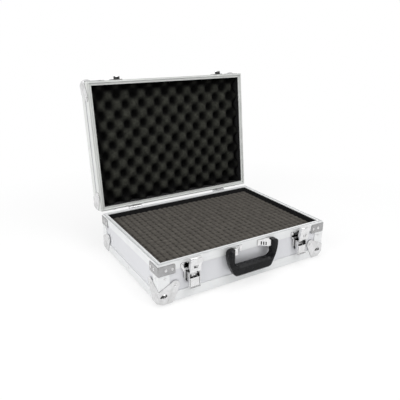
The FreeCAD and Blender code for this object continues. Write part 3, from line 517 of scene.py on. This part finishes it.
# Felt on the inner walls, a thin ring with a slightly uneven face and a rounded lip
def felt_ring(name, node, body, low, high, place):
    thick, spacing = 1.8 * MM, 6 * MM
    ripple_rise, ripple_size = 0.25 * MM, 9 * MM
    outer_x, outer_y = CASE_X - WALL_INSET, CASE_Y - WALL_INSET
    inner_x, inner_y = outer_x - thick, outer_y - thick
    corners = [(-1, -1), (1, -1), (1, 1), (-1, 1)]
    around = []
    for k in range(4):
        x0, y0 = corners[k]
        x1, y1 = corners[(k + 1) % 4]
        length = 2 * (outer_x if y0 == y1 else outer_y)
        count = round(length / spacing)
        around += [(x0 + (x1 - x0) * s / count, y0 + (y1 - y0) * s / count) for s in range(count)]
    # Section from the outer foot over the felt's face to the outer top, as shares inwards and up
    face = [(1.0, up) for up in (0.0, 0.2, 0.45, 0.7, 0.93)]
    section = [(0.0, 0.0)] + face + [(0.85, 0.98), (0.6, 1.0), (0.0, 1.0)]
    vertices, faces = [], []
    for ux, uy in around:
        for inward, up in section:
            x = ux * (outer_x + (inner_x - outer_x) * inward)
            y = uy * (outer_y + (inner_y - outer_y) * inward)
            z = low + (high - low) * up
            ripple = ripple_rise * max(0, wobble((x, y, z), ripple_size, 5)) if 0 < inward else 0
            x -= math.copysign(ripple, x) if abs(ux) == 1 else 0
            y -= math.copysign(ripple, y) if abs(uy) == 1 else 0
            vertices.append(place @ Vector((x, y, z)))
    count, ring = len(section), len(around)
    for a in range(ring):
        b = (a + 1) % ring
        for k in range(count):
            n = (k + 1) % count
            faces.append((a * count + k, b * count + k, b * count + n, a * count + n))
    made = piece(name, vertices, faces, FELT, body)
    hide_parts(node)


# Rivets: domed heads on a thin flange, with the dimple that the mandrel leaves
RIVET_RADIUS, RIVET_RISE = 3.2 * MM, 1.3 * MM


def rivet_section():
    """Radius and height from the foot of the flange to the floor of the dimple."""
    flange_rise, dome_foot = 0.25 * RIVET_RISE, 0.3 * RIVET_RISE
    dome_radius, dome_rise = 0.94 * RIVET_RADIUS, 0.7 * RIVET_RISE
    lip_radius, lip_height = 0.34 * RIVET_RADIUS, 0.96 * RIVET_RISE
    pit_radius, pit_height = 0.9 * lip_radius, 0.2 * RIVET_RISE
    points = [(RIVET_RADIUS, 0.0), (RIVET_RADIUS, flange_rise)]
    for degrees in (15, 30, 45, 60):
        angle = math.radians(degrees)
        points.append((dome_radius * math.cos(angle), dome_foot + dome_rise * math.sin(angle)))
    points += [(lip_radius, lip_height), (pit_radius, pit_height)]
    return points


def rivets(name, body, seats, place):
    """One mesh of rivet heads, each at a point and looking along a direction."""
    section, turns = rivet_section(), 20
    vertices, faces = [], []
    for at, way in seats:
        stand = Vector(way).to_track_quat("Z", "X").to_matrix()
        start = len(vertices)
        for radius, height in section:
            for k in range(turns):
                angle = 2 * math.pi * k / turns
                local = Vector((radius * math.cos(angle), radius * math.sin(angle), height))
                vertices.append(place @ (Vector(at) + stand @ local))
        for ring in range(len(section) - 1):
            for k in range(turns):
                n = (k + 1) % turns
                low, high = start + ring * turns, start + (ring + 1) * turns
                faces.append((low + k, low + n, high + n, high + k))
        last = start + (len(section) - 1) * turns
        faces.append(tuple(last + k for k in range(turns)))
        faces.append(tuple(start + k for k in reversed(range(turns))))
    made = piece(name, vertices, faces, RIVET, body)


def corner_signs():
    return [(sx, sy) for sx in (-1, 1) for sy in (-1, 1)]


def ball_corner_seats(level, up):
    """One rivet on each of the three leaves of every ball corner."""
    offset, sheet = 38.5 * MM, CORNER_SHEET
    seats = []
    for sx, sy in corner_signs():
        x, y, z = sx * (CASE_X - offset), sy * (CASE_Y - offset), level + up * offset
        seats.append(((x, y, level - up * sheet), (0, 0, -up)))
        seats.append(((sx * (CASE_X + sheet), y, z), (sx, 0, 0)))
        seats.append(((x, sy * (CASE_Y + sheet), z), (0, sy, 0)))
    return seats


def bracket_seats():
    """Two rivets on each leg of the rim brackets, and one below them on the upright angle."""
    # Distance from the corner, sheet that the rivet sits on, and drop below the rim
    places = [
        (17.4 * MM, CORNER_SHEET, 15 * MM),
        (32.8 * MM, CORNER_SHEET, 15 * MM),
        (15 * MM, 0, 34 * MM),
    ]
    seats = []
    for sx, sy in corner_signs():
        for inset, out, drop in places:
            z = RIM_TOP - drop
            seats.append(((sx * (CASE_X + out), sy * (CASE_Y - inset), z), (sx, 0, 0)))
            seats.append(((sx * (CASE_X - inset), sy * (CASE_Y + out), z), (0, sy, 0)))
    return seats


def hardware_seats():
    """Rivets of the latch plates, catches, hinge leaves and edge profiles, on the base and on the lid."""
    plate_hole, plate_drop = 22 * MM, 12.3 * MM
    catch_hole, catch_rise = 10.2 * MM, 13 * MM
    leaf_hole, leaf_reach = 9.5 * MM, 15.6 * MM
    edge_inset = 13.2 * MM
    front, back = -CASE_Y - PLATE_SHEET, CASE_Y + PLATE_SHEET
    forwards, backwards = (0, -1, 0), (0, 1, 0)
    base, lid = [], []
    for side in (-1, 1):
        latch_x, hinge_x = side * LATCH_X, side * HINGE_X
        for hand in (-1, 1):
            base.append(((latch_x + hand * plate_hole, front, RIM_TOP - plate_drop), forwards))
            lid.append(((latch_x + hand * catch_hole, front, LID_RIM + catch_rise), forwards))
            x = hinge_x + hand * leaf_hole
            base.append(((x, back, HINGE.z - leaf_reach), backwards))
            lid.append(((x, back, HINGE.z + leaf_reach), backwards))
        base.append(((side * CASE_X, 0, BASE_LOW + edge_inset), (side, 0, 0)))
        lid.append(((side * CASE_X, 0, LID_TOP - edge_inset), (side, 0, 0)))
    return base, lid


# Black plates in the cavities of the handle brackets, which stand in for the shade in there and show dark
# through the slots
def strap_slot_shade_plates():
    inner, outer = 31 * MM, 49 * MM
    foot, head = GRIP_Z - 6 * MM, GRIP_Z + 4.8 * MM
    cut, rise, edge = 1.5 * MM, 0.8 * MM, 0.25 * MM

    def outline(inset):
        """Corners of the plate, counted from the lower left one and each cut off."""
        x0, x1, z0, z1 = inner + inset, outer - inset, foot + inset, head - inset
        return [
            (x0 + cut, z0), (x1 - cut, z0), (x1, z0 + cut), (x1, z1 - cut),
            (x1 - cut, z1), (x0 + cut, z1), (x0, z1 - cut), (x0, z0 + cut),
        ]

    levels = [(0.0, 0.0), (rise - edge, 0.0), (rise, edge)]
    count = len(outline(0.0))
    vertices, faces = [], []
    for side in (-1, 1):
        start = len(vertices)
        for height, inset in levels:
            vertices += [Vector((side * x, -CASE_Y - height, z)) for x, z in outline(inset)]
        rings = [list(range(start + k * count, start + (k + 1) * count)) for k in range(len(levels))]
        plate = [tuple(reversed(rings[0])), tuple(rings[-1])]
        for low, high in zip(rings, rings[1:]):
            plate += [(low[k - 1], low[k], high[k], high[k - 1]) for k in range(count)]
        faces += plate if side > 0 else [face[::-1] for face in plate]
    made = piece("strap_slot_shade_plates", vertices, faces, PLASTIC, "base", smooth=False)


# The left handle bracket is open on top, so a pressed cover closes it flush with its edge
def strap_cover():
    sheet, edge = 1.8 * MM, 0.3 * MM
    hub_side, foot_side = -49.7 * MM, -28.9 * MM
    front_side, out = -43.2 * MM, 14.2 * MM
    top = GRIP_Z + 7 * MM
    corners = [(hub_side, 0.0), (foot_side, 0.0), (front_side, out), (hub_side, out)]
    middle = Vector((sum(x for x, _ in corners) / 4, sum(y for _, y in corners) / 4))

    def ring(height, share):
        """Corners at one height, drawn in towards the middle by a share."""
        points = [middle + (Vector(corner) - middle) * share for corner in corners]
        return [Vector((point.x, -CASE_Y - point.y, height)) for point in points]

    levels = [(top - sheet, 1.0), (top - edge, 1.0), (top, 0.96)]
    vertices = [vertex for height, share in levels for vertex in ring(height, share)]
    count = len(corners)
    faces = [(0, 1, 2, 3), tuple(reversed(range(2 * count, 3 * count)))]
    for level in range(len(levels) - 1):
        low, high = level * count, (level + 1) * count
        for k in range(count):
            n = (k + 1) % count
            faces.append((low + n, low + k, high + k, high + n))
    made = piece("left_strap_cover", vertices, faces, STRAP, "base", smooth=False)


base_foam()
lid_foam()
strap_slot_shade_plates()
strap_cover()
felt_ring("base_felt", "base_lining", "base", BASE_LOW + WALL_INSET, RIM_TOP - FELT_DROP, Matrix())
felt_ring("lid_felt", "lid_lining", "lid", LID_RIM + FELT_DROP, LID_TOP - WALL_INSET, LID_OPEN)
base_hardware, lid_hardware = hardware_seats()
rivets("base_rivets", "base", ball_corner_seats(BASE_LOW, 1) + bracket_seats() + base_hardware, Matrix())
rivets("lid_rivets", "lid", ball_corner_seats(LID_TOP, -1) + lid_hardware, LID_OPEN)


# Floor, world and lamps
def floor():
    shader = Shader("studio_floor")
    dust = shader.noise(shader.place(), 0.4, detail=2.0)
    colour = shader.ramp(dust, [(0.3, (0.90, 0.90, 0.90)), (0.7, (0.93, 0.93, 0.93))])
    shader.set(Roughness=0.9)
    shader.surface.inputs["Specular IOR Level"].default_value = 0.0
    material = shader.finish(colour)
    # Past the lit middle the floor is as white as the backdrop, to the camera and in reflections
    spot = shader.add("VectorMath", operation="LENGTH")
    shader.join(shader.place(), spot.inputs[0])
    near_share, lit_reach, white_reach = 0.7, 0.35, 0.95
    far = shader.spread(spot.outputs["Value"], near_share, 1.0, lit_reach, white_reach)
    path = shader.add("LightPath")
    seen = path.outputs["Is Camera Ray"]
    for ray in ("Is Glossy Ray", "Is Transmission Ray"):
        either = shader.add("Math", operation="MAXIMUM")
        shader.join(seen, either.inputs[0])
        shader.join(path.outputs[ray], either.inputs[1])
        seen = either.outputs["Value"]
    share = shader.add("Math", operation="MULTIPLY")
    shader.join(far, share.inputs[0])
    shader.join(seen, share.inputs[1])
    white = shader.add("Emission", Strength=1.0)
    blend = shader.add("MixShader")
    shader.join(share.outputs["Value"], blend.inputs["Fac"])
    shader.join(shader.surface.outputs["BSDF"], blend.inputs[1])
    shader.join(white.outputs["Emission"], blend.inputs[2])
    shader.join(blend.outputs["Shader"], shader.tree.nodes["Material Output"].inputs["Surface"])
    size = 40
    bpy.ops.mesh.primitive_plane_add(size=size)
    ground = bpy.context.object
    ground.name = "studio_floor"
    ground.data.materials.append(material)


def flags():
    """Dark cards that stand round the set and give the bright metal something to mirror."""
    shader = Shader("flag_cloth")
    weave = shader.noise(shader.place(), 20 * MM, detail=2.0)
    cloth = shader.finish(shader.ramp(weave, [(0.3, (0.02, 0.02, 0.02)), (0.7, (0.04, 0.04, 0.04))]))
    away = 2.6
    # Turn about Z from the front in degrees, width, height and share by which the top leans over the set
    cards = [
        (-80, 0.8, 1.0, 0.0),
        (-54, 0.9, 2.6, 0.4),
        (-30, 0.9, 3.0, 0.8),
        (-6, 0.9, 2.6, 0.5),
        (20, 1.0, 1.4, 0.0),
        (46, 1.0, 1.2, 0.0),
    ]
    for turn, width, height, lean in cards:
        angle = math.radians(turn)
        foot = Vector((math.sin(angle), -math.cos(angle), 0)) * away
        side = Vector((math.cos(angle), math.sin(angle), 0)) * width / 2
        rise = Vector((0, 0, height)) - lean * foot
        corners = [foot - side, foot + side, foot + side + rise, foot - side + rise]
        mesh = bpy.data.meshes.new("flag")
        mesh.from_pydata([tuple(c) for c in corners], [], [(0, 1, 2, 3)])
        mesh.materials.append(cloth)
        card = bpy.data.objects.new("flag", mesh)
        bpy.context.scene.collection.objects.link(card)
        card.visible_camera = False
        card.visible_diffuse = False
        card.visible_shadow = False


def world():
    """White to the camera and in reflections, softer as light on the object."""
    light_level, seen_level = 0.42, 1.0
    sky = bpy.data.worlds.new("studio")
    bpy.context.scene.world = sky
    sky.use_nodes = True
    tree = sky.node_tree
    background = tree.nodes["Background"]
    background.inputs["Color"].default_value = (1, 1, 1, 1)
    path = tree.nodes.new("ShaderNodeLightPath")
    seen = tree.nodes.new("ShaderNodeMath")
    seen.operation = "MAXIMUM"
    tree.links.new(path.outputs["Is Camera Ray"], seen.inputs[0])
    tree.links.new(path.outputs["Is Glossy Ray"], seen.inputs[1])
    both = tree.nodes.new("ShaderNodeMath")
    both.operation = "MAXIMUM"
    tree.links.new(seen.outputs["Value"], both.inputs[0])
    tree.links.new(path.outputs["Is Transmission Ray"], both.inputs[1])
    level = tree.nodes.new("ShaderNodeMapRange")
    level.inputs["To Min"].default_value = light_level
    level.inputs["To Max"].default_value = seen_level
    tree.links.new(both.outputs["Value"], level.inputs["Value"])
    tree.links.new(level.outputs["Result"], background.inputs["Strength"])


def lamp(name, at, aim, size, power):
    data = bpy.data.lights.new(name, "AREA")
    data.shape = "DISK"
    data.size = size
    data.energy = power
    made = bpy.data.objects.new(name, data)
    made.location = at
    made.rotation_mode = "QUATERNION"
    made.rotation_quaternion = (Vector(aim) - Vector(at)).to_track_quat("-Z", "Y")
    bpy.context.scene.collection.objects.link(made)


floor()
flags()
world()
AIM = (0, 0.05, 0.12)
lamp("key_lamp", at=(-1.9, -0.7, 1.5), aim=AIM, size=1.6, power=24)
lamp("fill_lamp", at=(0.8, -1.8, 2.2), aim=AIM, size=1.6, power=25)
lamp("top_lamp", at=(0.1, -0.1, 2.2), aim=AIM, size=1.8, power=18)


# Camera, from the photograph's perspective
def camera():
    pixels = 400
    focal_pixels = 453.6
    azimuth, elevation = math.radians(-30.93), math.radians(20.11)
    target = Vector((-0.0328, 0, 0.1542))
    distance = 1.1243
    centre_off_x, centre_off_y = 0.43, -0.93
    data = bpy.data.cameras.new("camera")
    data.sensor_width = 36
    data.lens = focal_pixels / pixels * data.sensor_width
    data.shift_x = centre_off_x / pixels
    data.shift_y = centre_off_y / pixels
    back = Vector((
        math.sin(azimuth) * math.cos(elevation),
        -math.cos(azimuth) * math.cos(elevation),
        math.sin(elevation),
    ))
    made = bpy.data.objects.new("camera", data)
    made.location = target + distance * back
    made.rotation_mode = "QUATERNION"
    made.rotation_quaternion = (-back).to_track_quat("-Z", "Y")
    bpy.context.scene.collection.objects.link(made)
    bpy.context.scene.camera = made


camera()
bpy.context.scene.view_settings.view_transform = "Standard"
